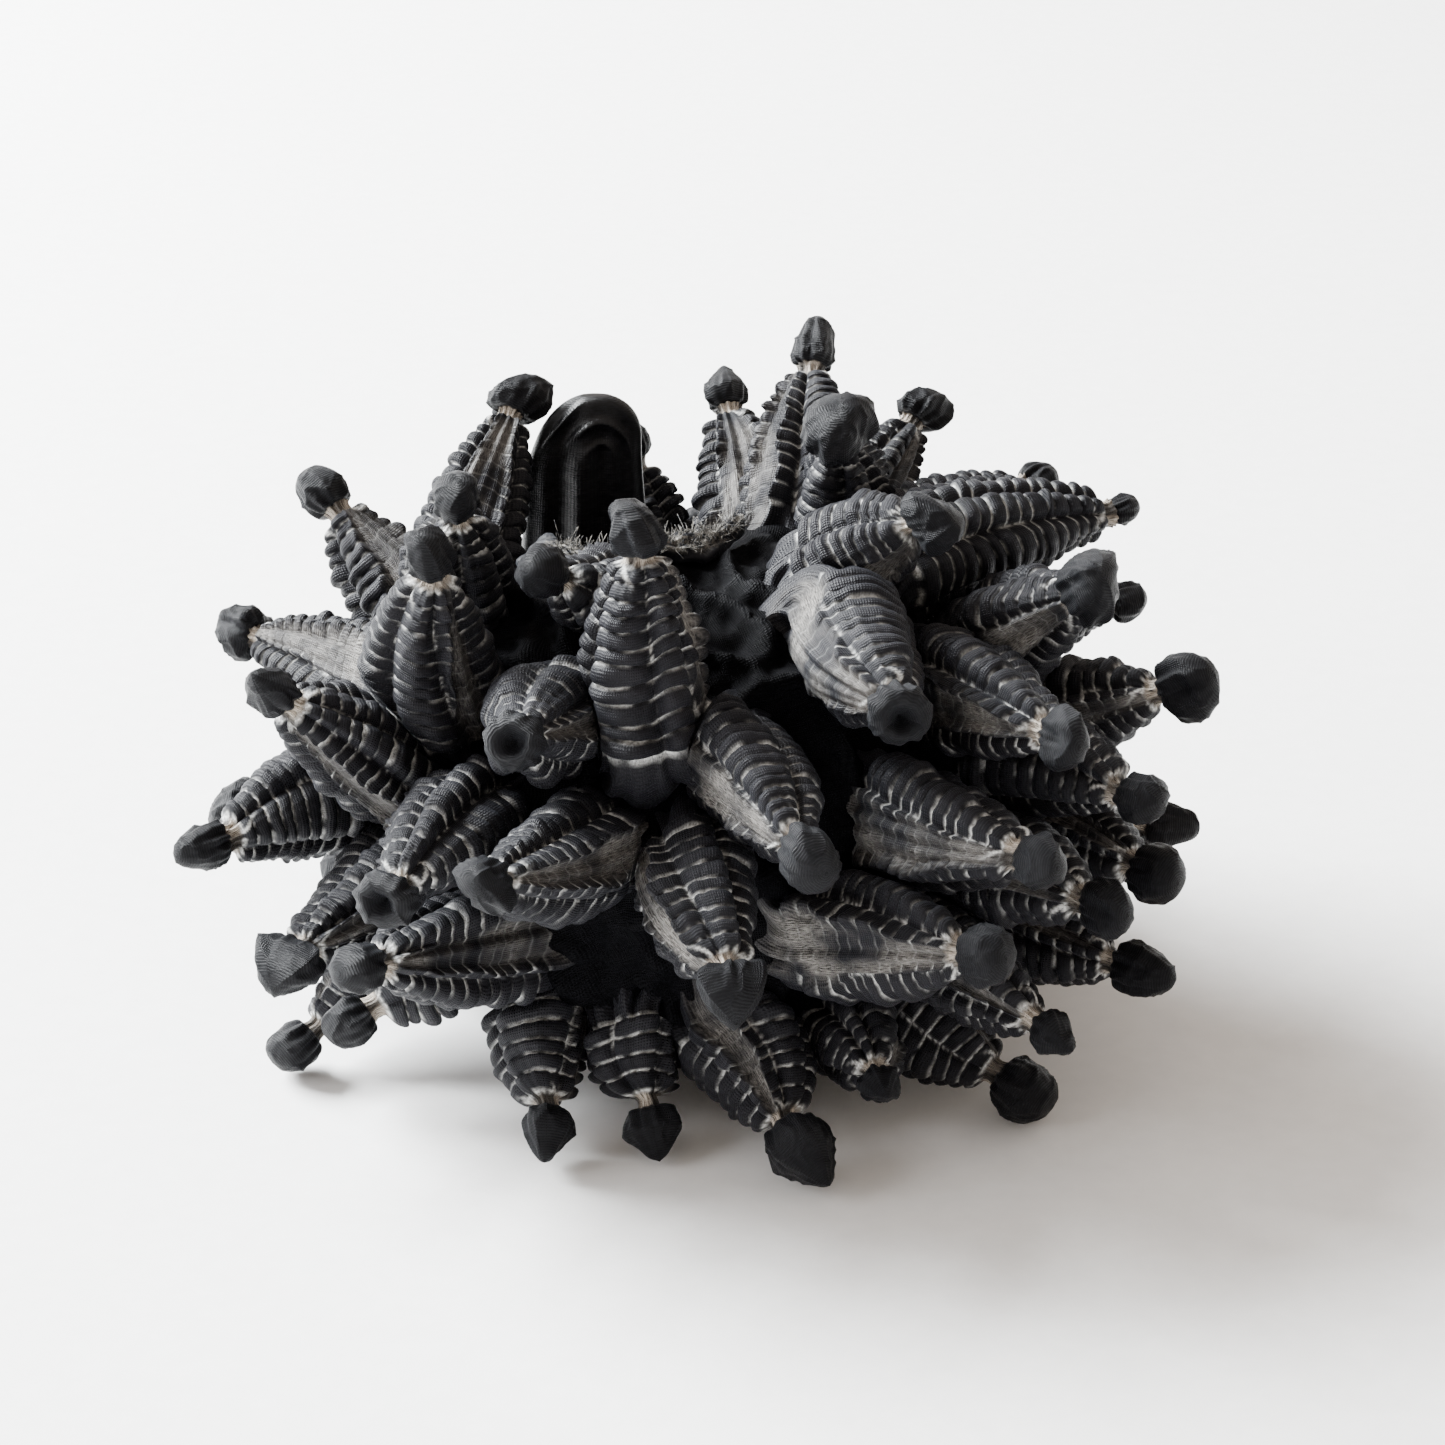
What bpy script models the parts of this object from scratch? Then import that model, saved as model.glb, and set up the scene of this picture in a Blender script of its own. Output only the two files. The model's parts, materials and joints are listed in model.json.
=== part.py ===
"""A round bundle of black bound-and-set cloth: one gathered ground cloth with a hollow at the top,
and the horns that were bound in it, each free to sway at its root. Metres, +Z up.
The origin is the middle of the flat patch that the bundle rests on."""

import math

import bmesh
import bpy
import numpy as np
from mathutils import Vector
from mathutils.bvhtree import BVHTree

MM = 0.001

# Ground cloth: a flattened ball on a flat foot, with a hollow off its middle.
BODY_RADIUS = 41 * MM
BODY_DEPTH_SHARE = 0.95
BODY_CENTRE = Vector((0, 0, 40 * MM))
BODY_SIDES = 28
BODY_PROFILE = (  # share of the body's radius, height
    (0.54, 0 * MM),
    (0.64, 3 * MM),
    (0.77, 9 * MM),
    (0.90, 18 * MM),
    (0.98, 28 * MM),
    (1.00, 38 * MM),
    (0.97, 47 * MM),
    (0.89, 55 * MM),
    (0.75, 62.5 * MM),
    (0.54, 68 * MM),
    (0.28, 70.5 * MM),
)
BODY_TOP = 71 * MM
HOLLOW_CENTRE = Vector((-8 * MM, 14 * MM, 0))
HOLLOW_RIM = 16 * MM
HOLLOW_PROFILE = (  # radius, height
    (9 * MM, 46 * MM),
    (12.5 * MM, 52 * MM),
    (14.5 * MM, 62 * MM),
    (HOLLOW_RIM, 80 * MM),
)
HOLLOW_SIDES = 16
OUTSIDE = 3 * BODY_RADIUS  # a distance from the body's centre that is well outside everything

# Horns: spindles with a round root, a thin bound neck and a loose bulb at the tip.
HORN_SIDES = 8
ROOT_SHARE = 0.66  # root radius over the horn's widest radius
ROOT_CAP = (-0.98, (-0.7, 0.7))  # in root radii: the root's lowest point, and a ring's place and radius
GAP = 0.35 * MM  # between the ground cloth and a horn's root
FLOOR_GAP = 0.4 * MM
NECK_RADIUS = 1.9 * MM
SPINDLE = ((0.16, 0.92), (0.38, 1.0), (0.64, 0.86), (0.86, 0.56))  # share of length, of girth
NECK_AT = 1.25  # bulb radii from the bulb's middle back to the neck
BULB_RINGS = (-0.6, 0.1, 0.7)  # places along the bulb, in its radii from its middle
SWAY = math.radians(10)  # how far a horn is kept free to sway each way

# Each horn: where its root stands on the ground cloth and where its bulb is, both seen from the
# body's centre as (degrees round from +X, degrees up), then the bulb's distance from there, the
# horn's widest radius and its bulb's radius, all three in millimetres.
CROWN_HORNS = (  # round the hollow, pointing up
    ((150, 36), (121, 46), 66, 7.0, 3.9),
    ((108, 42), (96, 35), 63, 6.8, 3.4),
    ((84, 42), (86, 36), 65, 7.4, 3.4),
    ((62, 44), (70, 44), 67, 7.4, 3.6),
    ((40, 44), (20, 66), 54, 6.0, 4.2),
    ((-18, 54), (-22, 50), 58, 6.6, 3.9),
    ((-98, 33), (-103, 60), 58, 7.4, 4.1),
    ((-130, 60), (-136, 42), 45, 5.6, 3.6),
    ((-152, 27), (-139, 48), 63, 7.6, 3.6),
    ((-170, 36), (-150, 51), 58, 6.4, 3.2),
)
UPPER_HORNS = (  # on the upper slope, counted from the right-hand side round
    ((4, 10), (-12, 18), 74, 7.0, 4.4),
    ((14, 21), (-15, 28), 65, 7.4, 4.8),
    ((24, 16), (24, 10), 73, 6.4, 3.0),
    ((14, 30), (24, 21), 76, 7.2, 2.4),
    ((28, 34), (33, 24), 70, 6.6, 2.9),
    ((44, 28), (50, 31), 71, 7.0, 3.4),
    ((66, 18), (66, 12), 70, 7.2, 3.6),
    ((92, 16), (92, 10), 70, 7.2, 3.8),
    ((120, 18), (118, 12), 70, 7.2, 3.6),
    ((160, 22), (152, 26), 70, 7.0, 3.8),
    ((174, 14), (160, 10), 72, 7.0, 3.8),
    ((-156, 8), (-148, 22), 71, 7.2, 3.4),
    ((-118, 30), (-112, 26), 66, 7.0, 3.6),
    ((-82, 24), (-76, 14), 68, 6.8, 3.9),
    ((-44, 42), (-60, 27), 62, 7.6, 3.8),
    ((-20, 14), (-38, 16), 69, 7.2, 3.8),
)
MIDDLE_HORNS = (  # round the widest part
    ((6, -14), (6, -12), 73, 6.8, 3.8),
    ((-6, -4), (-26, 0), 69, 7.0, 3.9),
    ((-14, 4), (-30, 7), 70, 6.8, 3.6),
    ((-28, -14), (-37, -4), 71, 7.0, 3.9),
    ((-48, 8), (-50, 9), 73, 7.2, 3.6),
    ((-62, -12), (-56, 0), 71, 7.4, 3.8),
    ((-90, 4), (-85, 0), 69, 7.0, 3.6),
    ((-110, 8), (-115, 10), 71, 6.8, 3.8),
    ((-130, 8), (-121, 7), 72, 6.8, 3.6),
    ((-128, -16), (-128, -3), 71, 7.2, 3.4),
    ((-170, -4), (-154, -1), 73, 7.6, 3.4),
    ((-158, -14), (-142, -9), 71, 7.0, 4.1),
    ((172, -12), (172, -10), 72, 6.8, 3.8),
    ((142, -8), (142, -6), 71, 7.2, 3.8),
    ((112, -10), (110, -10), 70, 7.2, 3.6),
    ((78, -8), (78, -6), 70, 7.0, 3.8),
    ((44, -8), (44, -8), 71, 7.2, 3.8),
)
FLOOR_HORNS = (  # round the foot, reaching down to what the bundle stands on
    ((-18, -24), (-28, -13), 73, 6.6, 3.9),
    ((-34, -20), (-42, -12), 71, 6.4, 3.0),
    ((-42, -31), (-38, -29), 69, 7.0, 4.4),
    ((-50, -36), (-63, -25), 61, 6.0, 2.6),
    ((-78, -34), (-72, -31), 66, 7.0, 4.9),
    ((-102, -36), (-96, -38), 58, 5.6, 3.6),
    ((-122, -34), (-112, -34), 62, 6.2, 3.6),
    ((-148, -24), (-151, -24), 63, 6.4, 3.6),
    ((-164, -30), (-156, -29), 71, 6.2, 3.6),
    ((160, -32), (158, -29), 67, 6.8, 3.6),
    ((126, -34), (126, -30), 66, 6.8, 3.8),
    ((92, -34), (92, -30), 65, 6.8, 3.6),
    ((58, -34), (58, -30), 66, 6.8, 3.8),
    ((22, -32), (22, -29), 68, 6.8, 3.6),
)
TIERS = (
    ("crown_horn", CROWN_HORNS),
    ("upper_horn", UPPER_HORNS),
    ("middle_horn", MIDDLE_HORNS),
    ("floor_horn", FLOOR_HORNS),
)

# How the horns push each other apart until each can sway.
SETTLE_ROUNDS = 260
SETTLE_STEP = 0.35
ROOT_STIFFNESS = 0.5  # a root moves this much as easily as a bulb
SPINE_SAMPLES = 9
CLEARANCE = 0.5 * MM
NO_LENGTH = 1e-9

# Raw edge of the cloth along the front of the hollow, and the smooth loop standing behind it.
EDGE_RADIUS = 1.7 * MM
EDGE_LINE = 16.5 * MM  # from the hollow's middle
EDGE_OUTSIDE = EDGE_LINE + EDGE_RADIUS
EDGE_FROM, EDGE_TO = math.radians(-150), math.radians(-22)
EDGE_POINTS = 12
EDGE_GAP = 0.7 * MM  # between the edge's roll and the ground cloth
LOOP_CENTRE = Vector((-14.2 * MM, 32 * MM, 0))
LOOP_WIDTH = 6.8 * MM  # half of it
LOOP_HEIGHT = 25 * MM
LOOP_THICKNESS = 2.4 * MM  # half of it
LOOP_GAP = 1.4 * MM  # between the loop and the ground cloth's highest point under it
LOOP_STEPS = 7
LOOP_SIDES = 12

CLOTH_BLACK = (0.018, 0.018, 0.021)
EDGE_BLACK = (0.045, 0.042, 0.042)


def clear_scene():
    for old in list(bpy.data.objects):
        bpy.data.objects.remove(old, do_unlink=True)


def cloth(name, colour, roughness):
    material = bpy.data.materials.new(name)
    material.use_nodes = True
    shader = material.node_tree.nodes["Principled BSDF"]
    shader.inputs["Base Color"].default_value = (*colour, 1)
    shader.inputs["Roughness"].default_value = roughness
    shader.inputs["Metallic"].default_value = 0
    return material


def add_object(name, bm, material):
    bmesh.ops.recalc_face_normals(bm, faces=bm.faces)
    mesh = bpy.data.meshes.new(name)
    bm.to_mesh(mesh)
    bm.free()
    mesh.shade_smooth()
    made = bpy.data.objects.new(name, mesh)
    made.data.materials.append(material)
    bpy.context.scene.collection.objects.link(made)
    return made


def skin_rings(bm, rings, first_tip=None, last_tip=None):
    """Faces from ring to ring, each end closed by a point, or by one flat face without one."""
    loops = [[bm.verts.new(p) for p in ring] for ring in rings]
    sides = len(loops[0])
    for near, far in zip(loops, loops[1:]):
        for i in range(sides):
            j = (i + 1) % sides
            bm.faces.new((near[i], near[j], far[j], far[i]))
    for loop, tip in ((loops[0], first_tip), (loops[-1], last_tip)):
        if tip is None:
            bm.faces.new(loop)
            continue
        point = bm.verts.new(tip)
        for i in range(sides):
            bm.faces.new((loop[i], loop[(i + 1) % sides], point))


def circle(centre, radius, sides, depth_share=1.0):
    turn = 2 * math.pi / sides
    return [
        centre + Vector((radius * math.cos(k * turn), radius * depth_share * math.sin(k * turn), 0))
        for k in range(sides)
    ]


def hollow_cutter():
    bm = bmesh.new()
    rings = [
        circle(HOLLOW_CENTRE + Vector((0, 0, z)), r, HOLLOW_SIDES) for r, z in HOLLOW_PROFILE
    ]
    skin_rings(bm, rings)
    cutter = add_object("hollow_cutter", bm, cloth("cutter", CLOTH_BLACK, 1))
    cutter.hide_render = True
    cutter.display_type = "WIRE"
    return cutter


def surface_of(obj):
    bpy.context.view_layer.update()
    return BVHTree.FromObject(obj, bpy.context.evaluated_depsgraph_get())


def ground_cloth():
    """Makes the ground cloth and gives its outer surface as it is without the hollow."""
    bm = bmesh.new()
    rings = [
        circle(Vector((0, 0, z)), share * BODY_RADIUS, BODY_SIDES, BODY_DEPTH_SHARE)
        for share, z in BODY_PROFILE
    ]
    skin_rings(bm, rings, last_tip=Vector((0, 0, BODY_TOP)))
    body = add_object("ground_cloth", bm, cloth("black_cloth", CLOTH_BLACK, 0.75))
    surface = surface_of(body)
    cut = body.modifiers.new("hollow", "BOOLEAN")
    cut.operation = "DIFFERENCE"
    cut.solver = "EXACT"
    cut.object = hollow_cutter()
    return surface


def height_over(surface, spot):
    """The height of the cloth's outer surface under a spot."""
    hit, _, _, _ = surface.ray_cast(Vector((spot.x, spot.y, OUTSIDE)), Vector((0, 0, -1)))
    return hit.z


def heading(around, up):
    a, u = math.radians(around), math.radians(up)
    return Vector((math.cos(a) * math.cos(u), math.sin(a) * math.cos(u), math.sin(u)))


class Horn:
    """One horn: its name, sizes, root on the ground cloth and bulb."""

    def __init__(self, name, row):
        root, tip, reach, girth, bulb = row
        self.name = name
        self.girth = girth * MM
        self.bulb = bulb * MM
        self.root_radius = self.girth * ROOT_SHARE
        self.foot = BODY_CENTRE + BODY_RADIUS * heading(*root)
        self.tip = BODY_CENTRE + reach * MM * heading(*tip)
        self.root = self.foot.copy()

    def stand_on(self, surface):
        """Brings the foot back to the cloth beside the hollow, and the root just clear of the cloth."""
        from_hollow = self.foot - HOLLOW_CENTRE
        from_hollow.z = 0
        nearest = EDGE_OUTSIDE + self.root_radius + CLEARANCE
        if from_hollow.length < nearest:
            self.foot += from_hollow.normalized() * (nearest - from_hollow.length)
        out = (self.foot - BODY_CENTRE).normalized()
        self.foot, normal, _, _ = surface.ray_cast(BODY_CENTRE + OUTSIDE * out, -out)
        self.root = self.foot + normal * (self.root_radius + GAP)
        self.root.z = max(self.root.z, self.root_radius + FLOOR_GAP)
        self.tip.z = max(self.tip.z, self.bulb + FLOOR_GAP)

    def axis(self):
        """The hinge's axis, square to the horn, so that a positive turn sways it round the bundle."""
        along = (self.tip - self.root).normalized()
        upright = Vector((0, 0, 1)) - along.z * along
        return upright.normalized()

    def length(self):
        return (self.tip - self.root).length

    def radius_at(self, share):
        if share * self.length() > self.length() - NECK_AT * self.bulb:
            return self.bulb
        shares = [0.0] + [s for s, _ in SPINDLE]
        radii = [ROOT_SHARE] + [r for _, r in SPINDLE]
        return self.girth * float(np.interp(share, shares, radii))


def all_horns():
    return [
        Horn(f"{tier}_{number:02d}", row)
        for tier, rows in TIERS
        for number, row in enumerate(rows, 1)
    ]


def turned(points, pivot, axis, angle):
    """Points turned about an axis through a pivot, by Rodrigues' formula."""
    arm = points - pivot
    across = np.cross(axis, arm)
    along = (arm @ axis)[:, None] * axis
    return pivot + arm * math.cos(angle) + across * math.sin(angle) + along * (1 - math.cos(angle))


def lift_off(spine, shares, radii, surface):
    """How far a horn's bulb must move so that the horn's flank clears the ground cloth."""
    most, lift = 0.0, Vector()
    for point, share, radius in zip(spine[1:], shares[1:], radii[1:]):
        near, normal, _, _ = surface.find_nearest(Vector(point))
        sunk = (radius + CLEARANCE - (Vector(point) - near).dot(normal)) / share
        if sunk > most:
            most, lift = sunk, normal * sunk * SETTLE_STEP
    return np.array(lift)


def settle(horns, surface):
    """Moves horns that are in each other's way apart, a little each round, as bundled cloth does."""
    shares = np.linspace(0, 1, SPINE_SAMPLES)
    radii = np.array([[h.radius_at(s) for s in shares] for h in horns])
    need = radii[:, None, :, None] + radii[None, :, None, :] + CLEARANCE
    apart = ~np.eye(len(horns), dtype=bool)
    for horn in horns:
        horn.stand_on(surface)
    lengths = [horn.length() for horn in horns]
    for _ in range(SETTLE_ROUNDS):
        roots = np.array([h.root for h in horns])
        tips = np.array([h.tip for h in horns])
        spines = roots[:, None] + shares[None, :, None] * (tips - roots)[:, None]
        push_tip = np.zeros_like(tips)
        push_root = np.zeros_like(roots)
        for i, spine in enumerate(spines):
            push_tip[i] += lift_off(spine, shares, radii[i], surface)
        for swing in (0, SWAY, -SWAY):
            swung = np.array(
                [
                    turned(spine, np.array(h.root), np.array(h.axis()), swing)
                    for h, spine in zip(horns, spines)
                ]
            )
            between = swung[:, None, :, None] - spines[None, :, None, :]
            distance = np.linalg.norm(between, axis=-1)
            depth = np.where(apart[:, :, None, None], need - distance, -1.0)
            flat = depth.reshape(len(horns), len(horns), -1)
            worst = flat.argmax(axis=2)
            deepest = np.take_along_axis(flat, worst[..., None], 2)[..., 0]
            for i, j in np.argwhere(deepest > 0):
                k, m = divmod(int(worst[i, j]), SPINE_SAMPLES)
                gap = between[i, j, k, m]
                shove = SETTLE_STEP * deepest[i, j] * gap / (np.linalg.norm(gap) + NO_LENGTH)
                for horn, at, sign in ((i, shares[k], 1), (j, shares[m], -1)):
                    push_tip[horn] += sign * at * shove
                    push_root[horn] += sign * (1 - at) * ROOT_STIFFNESS * shove
        for horn, length, move_tip, move_root in zip(horns, lengths, push_tip, push_root):
            horn.foot += Vector(move_root)
            horn.stand_on(surface)
            aim = horn.tip + Vector(move_tip) - horn.root
            horn.tip = horn.root + length * aim.normalized()
            horn.tip.z = max(horn.tip.z, horn.bulb + FLOOR_GAP)


def horn_rings(horn):
    """The horn's rings from its round root to its bulb, as (distance from the root, radius)."""
    length = horn.length()
    root = horn.root_radius
    bulb = horn.bulb
    neck = length - NECK_AT * bulb
    lowest, (cap_at, cap_radius) = ROOT_CAP
    rings = [(cap_at * root, cap_radius * root), (0, root)]
    rings += [(share * neck, radius * horn.girth) for share, radius in SPINDLE]
    rings += [(neck, NECK_RADIUS)]
    rings += [(length + part * bulb, math.sqrt(1 - part**2) * bulb) for part in BULB_RINGS]
    return rings, lowest * root, length + bulb


def add_horn(horn, material):
    """The horn's solid, with its origin on its hinge."""
    along = (horn.tip - horn.root).normalized()
    side = horn.axis()
    across = along.cross(side)
    turn = 2 * math.pi / HORN_SIDES
    rings, start, end = horn_rings(horn)
    bm = bmesh.new()
    loops = [
        [
            distance * along
            + radius * (math.cos(k * turn) * side + math.sin(k * turn) * across)
            for k in range(HORN_SIDES)
        ]
        for distance, radius in rings
    ]
    skin_rings(bm, loops, first_tip=start * along, last_tip=end * along)
    made = add_object(horn.name, bm, material)
    made.location = horn.root
    return made


def raw_edge(surface, material):
    """The frayed edge of the cloth, a thin roll along the front of the hollow."""
    curve = bpy.data.curves.new("raw_edge", "CURVE")
    curve.dimensions = "3D"
    curve.bevel_depth = EDGE_RADIUS
    curve.bevel_resolution = 2
    curve.use_fill_caps = True
    line = curve.splines.new("POLY")
    line.points.add(EDGE_POINTS - 1)
    for k, point in enumerate(line.points):
        angle = EDGE_FROM + (EDGE_TO - EDGE_FROM) * k / (EDGE_POINTS - 1)
        over = HOLLOW_CENTRE + EDGE_LINE * Vector((math.cos(angle), math.sin(angle), 0))
        point.co = (over.x, over.y, height_over(surface, over) + EDGE_RADIUS + EDGE_GAP, 1)
    made = bpy.data.objects.new("raw_edge", curve)
    curve.materials.append(material)
    bpy.context.scene.collection.objects.link(made)
    return made


def loop_fold(surface, material):
    """A smooth loop of the ground cloth standing behind the hollow, as a rounded upright slab."""
    deep = (LOOP_CENTRE - HOLLOW_CENTRE).normalized()
    across = Vector((0, 0, 1)).cross(deep)
    highest = height_over(surface, LOOP_CENTRE - LOOP_THICKNESS * deep)
    foot = LOOP_CENTRE + Vector((0, 0, highest + LOOP_GAP))
    rings = []
    for k in range(LOOP_STEPS):
        share = k / LOOP_STEPS
        wide = LOOP_WIDTH * math.sqrt(1 - share**2)
        thick = LOOP_THICKNESS * math.sqrt(1 - share**2)
        centre = foot + Vector((0, 0, LOOP_HEIGHT * share))
        turns = [2 * math.pi * i / LOOP_SIDES for i in range(LOOP_SIDES)]
        rings.append(
            [centre + across * wide * math.cos(a) + deep * thick * math.sin(a) for a in turns]
        )
    bm = bmesh.new()
    skin_rings(bm, rings, last_tip=foot + Vector((0, 0, LOOP_HEIGHT)))
    return add_object("loop_fold", bm, material)


def build():
    clear_scene()
    surface = ground_cloth()
    horns = all_horns()
    settle(horns, surface)
    horn_cloth = cloth("horn_cloth", CLOTH_BLACK, 0.8)
    for horn in horns:
        add_horn(horn, horn_cloth)
    raw_edge(surface, cloth("frayed_edge", EDGE_BLACK, 0.95))
    loop_fold(surface, cloth("loop_cloth", CLOTH_BLACK, 0.7))
    return horns


HORNS = build()
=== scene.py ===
"""Looks of a bundle of bound-and-set (shibori) black cloth: ribbed, resist-marked horns with loose
bulbs, standing on a gathered ground cloth with a hollow at the top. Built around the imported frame."""

import json
import math

import bpy
import numpy as np
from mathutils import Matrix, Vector, noise
from mathutils.bvhtree import BVHTree

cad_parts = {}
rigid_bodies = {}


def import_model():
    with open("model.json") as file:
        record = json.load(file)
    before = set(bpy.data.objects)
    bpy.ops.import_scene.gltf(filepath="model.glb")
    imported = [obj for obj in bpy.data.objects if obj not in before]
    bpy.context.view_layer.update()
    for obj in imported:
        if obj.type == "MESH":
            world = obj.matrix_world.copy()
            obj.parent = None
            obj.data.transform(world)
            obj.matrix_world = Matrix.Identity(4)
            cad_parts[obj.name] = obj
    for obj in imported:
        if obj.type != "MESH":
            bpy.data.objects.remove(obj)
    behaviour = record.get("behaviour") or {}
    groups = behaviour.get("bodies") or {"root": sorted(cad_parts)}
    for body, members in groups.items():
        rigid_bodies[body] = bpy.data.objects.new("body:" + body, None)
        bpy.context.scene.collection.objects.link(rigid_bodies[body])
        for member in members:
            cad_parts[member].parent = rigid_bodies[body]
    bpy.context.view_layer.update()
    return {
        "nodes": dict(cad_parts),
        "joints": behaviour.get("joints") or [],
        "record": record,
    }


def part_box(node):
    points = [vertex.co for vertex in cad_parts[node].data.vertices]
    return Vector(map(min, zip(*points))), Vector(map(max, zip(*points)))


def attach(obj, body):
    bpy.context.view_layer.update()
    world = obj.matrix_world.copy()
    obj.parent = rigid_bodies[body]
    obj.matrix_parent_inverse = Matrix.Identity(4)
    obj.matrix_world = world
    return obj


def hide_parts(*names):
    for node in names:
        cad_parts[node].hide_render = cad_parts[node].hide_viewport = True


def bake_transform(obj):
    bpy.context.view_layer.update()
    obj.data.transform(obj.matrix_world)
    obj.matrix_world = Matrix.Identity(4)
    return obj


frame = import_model()

MM = 0.001
TURN = 2 * math.pi

# Horn surface: a grid with columns round the horn and rows along it.
COLUMNS = 120
RIB_ROWS = (0.0, 0.05, 0.14, 0.28, 0.5, 0.72, 0.86, 0.95)  # shares of a rib, closest at its grooves
SKIRT_ROWS = 10
NECK_ROWS = 5
BULB_ROWS = 30
START = -0.35  # where the ribs begin, in girths from the root, so below it
NECK_MAX = 2.0 * MM  # the frame's horns are this thin only at the neck and past the bulb
NECK_SHARE = 0.33  # neck radius over base radius
CONE_BEND = 2.4  # how full the horn is between the two
FULLNESS = 1.18  # base radius over the girth of the frame's horn
COARSE_PITCH = 2.7 * MM  # rib spacing at the base and at the neck
FINE_PITCH = 1.9 * MM
RIB_HEIGHT = 1.15 * MM
SPINE_BEND = 1.9 * MM
BAND = 1.0 * MM  # half the bound band at the neck
FLARE = 1.5  # skirt radius on the ground cloth, in girths
SINK = 0.9 * MM
WRINKLE = 3.4 * MM  # spacing of the wrinkles on a bulb

# Directions that the features of a horn face.
FACING = {
    "front": (0, -1, 0.25),
    "front_up": (0, -1, 1),
    "front_down": (0, -1, -0.8),
    "front_left": (-1, -1, 0.2),
    "front_right": (1, -1, 0.2),
    "left": (-1, 0, 0.1),
    "right": (1, 0, 0.1),
    "up": (0, 0, 1),
    "down": (0, 0, -1),
    "back": (0, 1, 0),
}

# Each horn: the kind of its bulb, where that leans, where its undyed furrow faces, and the half
# width of the furrow in degrees.
LOOKS = {
    "crown_horn_01": ("beak", "right", "front", 38),
    "crown_horn_02": ("ball", "left", "right", 20),
    "crown_horn_03": ("point", "right", "front", 46),
    "crown_horn_04": ("thimble", "right", "front_left", 22),
    "crown_horn_05": ("mushroom", "front_right", "right", 20),
    "crown_horn_06": ("beak", "front_right", "front_down", 34),
    "crown_horn_07": ("hood", "left", "right", 26),
    "crown_horn_08": ("bead", "left", "back", 20),
    "crown_horn_09": ("hood", "left", "front_right", 22),
    "crown_horn_10": ("ball", "right", "left", 20),
    "upper_horn_01": ("button", "front", "front", 30),
    "upper_horn_02": ("hood", "front_up", "front", 44),
    "upper_horn_03": ("ball", "up", "back", 24),
    "upper_horn_04": ("bead", "up", "back", 24),
    "upper_horn_05": ("bead", "up", "down", 22),
    "upper_horn_06": ("beak", "right", "front_right", 28),
    "upper_horn_10": ("ball", "left", "front_right", 46),
    "upper_horn_11": ("hood", "front_up", "front_up", 34),
    "upper_horn_12": ("point", "up", "front_down", 24),
    "upper_horn_13": ("open", "front", "right", 16),
    "upper_horn_14": ("ball", "right", "left", 40),
    "upper_horn_15": ("open", "front_down", "left", 60),
    "upper_horn_16": ("button", "front", "front_left", 30),
    "middle_horn_02": ("ball", "front", "front_up", 24),
    "middle_horn_03": ("bead", "up", "back", 24),
    "middle_horn_04": ("button", "front", "front", 18),
    "middle_horn_05": ("bead", "front", "front", 34),
    "middle_horn_06": ("ball", "front", "front", 40),
    "middle_horn_07": ("beak", "down", "left", 36),
    "middle_horn_08": ("hood", "front_up", "right", 22),
    "middle_horn_09": ("open", "front_up", "left", 18),
    "middle_horn_10": ("ball", "down", "right", 26),
    "middle_horn_11": ("thimble", "left", "down", 18),
    "middle_horn_12": ("hood", "down", "front", 24),
    "floor_horn_01": ("thimble", "right", "front_up", 20),
    "floor_horn_02": ("point", "down", "front", 18),
    "floor_horn_03": ("ball", "right", "up", 22),
    "floor_horn_04": ("point", "front_down", "right", 20),
    "floor_horn_05": ("point", "right", "front", 16),
    "floor_horn_06": ("point", "front", "right", 20),
    "floor_horn_07": ("point", "left", "right", 24),
    "floor_horn_08": ("ball", "left", "up", 20),
    "floor_horn_09": ("ball", "left", "up", 18),
}
OTHER_BULBS = ("ball", "hood", "bead", "beak", "button", "thimble", "point")
OTHER_FACES = ("up", "down", "left", "right")

# Bulb outlines from the neck to the tip, as (distance along, radius) in bulb radii.
ROUND = ((0.0, 0.42), (0.08, 0.8), (0.45, 1.06), (1.0, 1.12), (1.5, 0.94), (1.85, 0.55), (1.98, 0.0))
CAP = ((0.0, 0.45), (-0.1, 0.95), (0.2, 1.28), (0.7, 1.3), (1.2, 1.02), (1.55, 0.55), (1.66, 0.0))
LONG = ((0.0, 0.5), (0.15, 0.84), (0.7, 0.96), (1.3, 0.86), (1.9, 0.66), (2.25, 0.36), (2.36, 0.0))
SMALL = ((0.0, 0.5), (0.2, 0.78), (0.7, 0.98), (1.2, 0.96), (1.65, 0.7), (1.9, 0.38), (1.98, 0.0))
SHARP = ((0.0, 0.42), (0.1, 0.9), (0.5, 1.16), (0.95, 1.16), (1.4, 0.82), (1.95, 0.36), (2.2, 0.0))
CUP = ((0.0, 0.45), (0.1, 0.9), (0.55, 1.12), (1.05, 1.1), (1.35, 0.8), (1.28, 0.5), (0.7, 0.0))
# Each kind of bulb: outline, lean, thickness across the lean, dimple, facets, folds and their height.
BULBS = {
    "ball": (ROUND, 0.15, 0.90, 0.16, 0, 2, 0.12),
    "button": (ROUND, 0.0, 0.70, 0.40, 0, 2, 0.15),
    "hood": (CAP, 0.5, 0.82, 0.34, 3, 3, 0.22),
    "beak": (CAP, 1.0, 0.92, 0.0, 3, 2, 0.22),
    "thimble": (LONG, 0.15, 0.88, 0.0, 0, 3, 0.12),
    "bead": (SMALL, 0.1, 0.92, 0.12, 0, 2, 0.13),
    "mushroom": (CAP, 0.25, 0.92, 0.2, 0, 3, 0.16),
    "point": (SHARP, 0.2, 0.86, 0.12, 5, 3, 0.15),
    "open": (CUP, 0.1, 0.96, 0.0, 0, 2, 0.06),
}


def unit(vectors):
    return vectors / np.linalg.norm(vectors, axis=-1, keepdims=True)


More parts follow.
